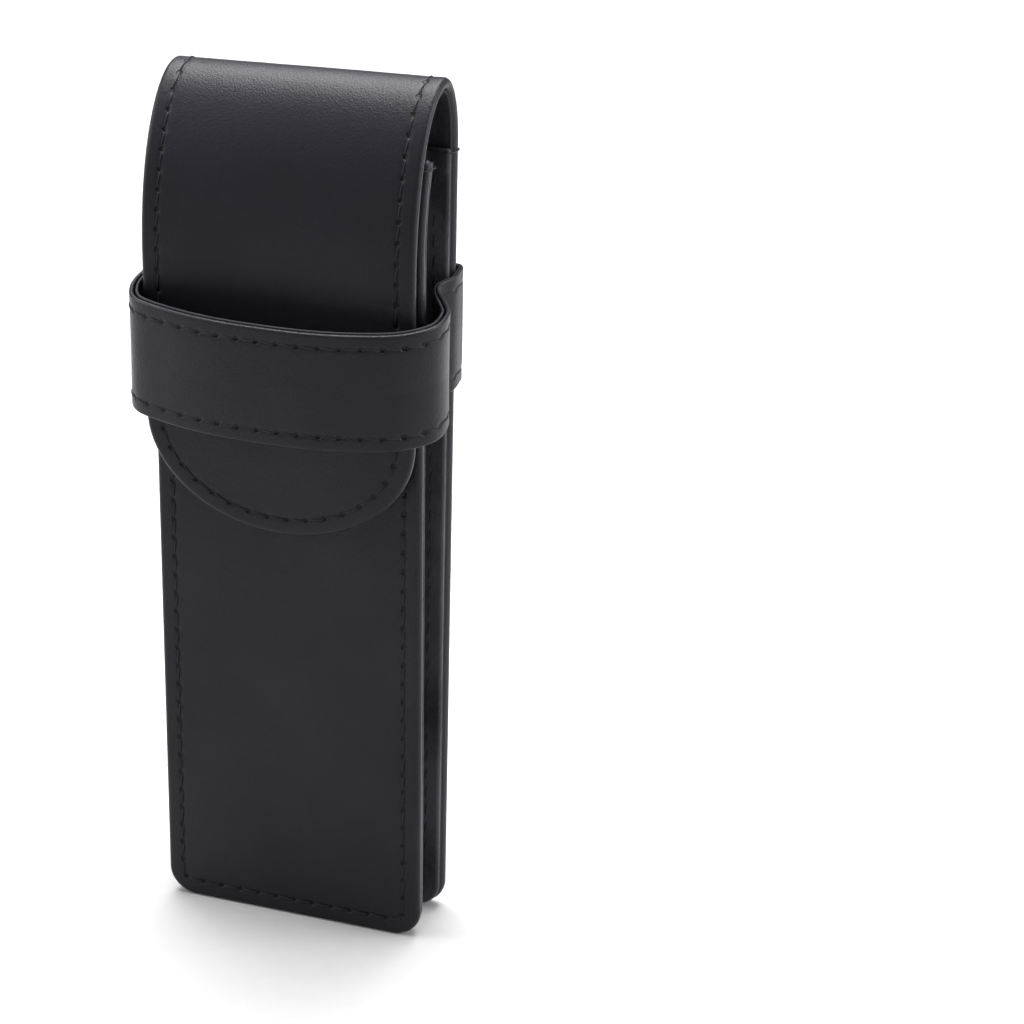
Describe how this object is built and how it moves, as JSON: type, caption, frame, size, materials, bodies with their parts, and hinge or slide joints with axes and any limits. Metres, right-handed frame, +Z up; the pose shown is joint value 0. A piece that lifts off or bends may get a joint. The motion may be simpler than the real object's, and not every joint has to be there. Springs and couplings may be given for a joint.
{
  "type": "fountain pen case",
  "caption": "Slim black leather sleeve for fountain pens: stiff panels joined by a recessed gusset, with an arched flap whose rounded tongue tucks behind a strap loop.",
  "frame": {"origin": "middle of the whole outline in plan, on the surface that the case stands on", "axes": "+Z up from the base to the arch of the flap; -Y is the front, where the tongue tucks behind the strap; +X is to the right as the front is looked at"},
  "size_m": [0.0586, 0.034, 0.1625],
  "materials": {
    "leather": "smooth drum-dyed cowhide, fine grain, semi-matte black",
    "gusset_leather": "thin soft black leather, semi-matte",
    "lining": "thin black lining leather, matte",
    "board": "bonded leather board, raw",
    "thread": "waxed black polyester sewing thread"
  },
  "bodies": {
    "case": {"front_panel_leather": "leather", "front_panel_stiffener": "board", "front_panel_lining": "lining", "back_panel_leather": "leather", "back_panel_stiffener": "board", "back_panel_lining": "lining", "gusset": "gusset_leather", "strap_leather": "leather", "strap_lining": "lining", "strap_upper_thread": "thread", "strap_lower_thread": "thread", "front_seam_thread": "thread", "front_mouth_thread": "thread", "back_seam_thread": "thread", "front_flange_thread": "thread", "back_flange_thread": "thread", "left_gusset_mouth_thread": "thread", "right_gusset_mouth_thread": "thread", "front_left_bartack": "thread", "front_right_bartack": "thread", "back_left_bartack": "thread", "back_right_bartack": "thread"},
    "flap": {"flap_leather": "leather", "flap_stiffener": "board", "flap_lining": "lining", "flap_seam_thread": "thread"}
  },
  "joints": [
    {"name": "flap_hinge", "type": "hinge", "parent": "case", "child": "flap", "pos_m": [0, 0.00755, 0.164], "axis": [-1, 0, 0], "range_deg": [0, 180], "deforming": ["strap_leather", "strap_lining", "strap_upper_thread", "strap_lower_thread"]}
  ]
}
